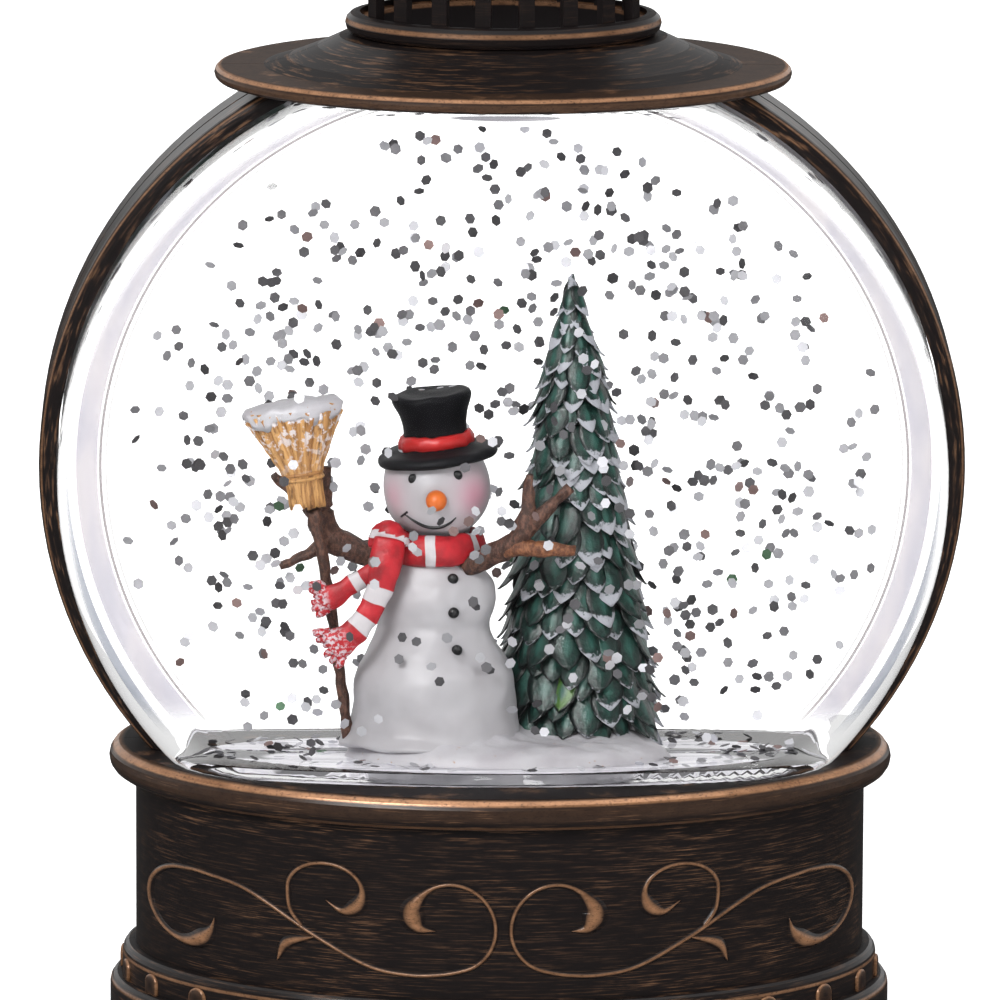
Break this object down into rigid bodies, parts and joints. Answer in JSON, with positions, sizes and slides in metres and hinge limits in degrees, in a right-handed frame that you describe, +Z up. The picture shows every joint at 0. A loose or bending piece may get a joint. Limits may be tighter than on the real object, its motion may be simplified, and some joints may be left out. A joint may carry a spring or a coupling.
{
  "type": "snow globe lantern",
  "caption": "Lantern-shaped snow globe: oval bronze housing around a clear water-filled drum with a snowman and fir tree, swinging handle and hidden magnetic glitter stirrer.",
  "frame": {"origin": "centre of the resting plane under the rubber feet", "axes": "+Z up, -Y towards the front of the drum, +X to the viewer's right"},
  "size_m": [0.145, 0.0864, 0.2518],
  "materials": {
    "bronze_housing": "dark bronze ABS with dry-brushed copper streaks and edges",
    "bronze_rivet": "aged brass",
    "clear_drum": "clear polished acrylic",
    "black_rubber": "matt rubber",
    "white_plastic": "white moulded plastic",
    "steel": "bright steel",
    "magnet": "nickel plated",
    "snow": "satin white painted snow",
    "snowman_white": "satin white paint",
    "hat_black": "satin black paint with a red band",
    "scarf_red": "red paint with white stripes",
    "twig_brown": "brown painted bark",
    "broom_straw": "straw-coloured paint with snow",
    "fir_green": "dark green paint with snow-tipped scales",
    "circuit_green": "solder mask",
    "component_black": "moulded component body",
    "led_yellow": "phosphor-coated light",
    "dark_plastic": "fine-grained dark plastic",
    "cell_wrap": "plain printed-free cell wrap"
  },
  "bodies": {
    "housing": {"front_frame": "bronze_housing", "rear_frame": "bronze_housing", "vent_cage": "bronze_housing", "roof_cap": "bronze_housing", "finial": "bronze_housing", "handle_rivets": "bronze_rivet", "drum_front": "clear_drum", "drum_rear": "clear_drum", "well_cup": "clear_drum", "fill_plug": "black_rubber", "well_grille": "white_plastic", "impeller_pin": "steel", "snow_mound": "snow", "snowman_body": "snowman_white", "snowman_head": "snowman_white", "top_hat": "hat_black", "scarf": "scarf_red", "left_arm": "twig_brown", "right_arm": "twig_brown", "broom": "broom_straw", "fir_tree": "fir_green", "light_diffuser": "white_plastic", "led_board": "circuit_green", "leds": "led_yellow", "drive_tray": "dark_plastic", "tray_screws": "steel", "motor": "steel", "control_board": "circuit_green", "board_parts": "component_black", "socket_board": "circuit_green", "power_socket": "steel", "switch_body": "component_black", "base_cover": "dark_plastic", "cover_screws": "steel", "batteries": "cell_wrap", "battery_contacts": "steel", "rubber_feet": "black_rubber"},
    "handle": {"handle": "bronze_housing"},
    "switch_slider": {"switch_knob": "component_black"},
    "battery_hatch": {"battery_door": "dark_plastic"},
    "drive_rotor": {"drive_hub": "white_plastic", "drive_magnets": "magnet", "motor_shaft": "steel"},
    "impeller_rotor": {"impeller": "white_plastic", "impeller_magnets": "magnet"}
  },
  "joints": [
    {"name": "handle_swing", "type": "hinge", "parent": "housing", "child": "handle", "pos_m": [0, 0, 0.2088], "axis": [1, 0, 0], "range_deg": [-80, 80]},
    {"name": "switch_slide", "type": "slide", "parent": "housing", "child": "switch_slider", "axis": [0, 1, 0], "range_m": [0, 0.004]},
    {"name": "hatch_swing", "type": "hinge", "parent": "housing", "child": "battery_hatch", "pos_m": [0, 0.0219, 0.0012], "axis": [1, 0, 0], "range_deg": [0, 75]},
    {"name": "drive_spin", "type": "hinge", "parent": "housing", "child": "drive_rotor", "pos_m": [0, 0, 0.037], "axis": [0, 0, 1], "continuous": true},
    {"name": "impeller_spin", "type": "hinge", "parent": "housing", "child": "impeller_rotor", "pos_m": [0, 0, 0.046], "axis": [0, 0, 1], "continuous": true}
  ],
  "couplings": [
    {"joint": "impeller_spin", "follows": "drive_spin", "ratio": 1}
  ]
}
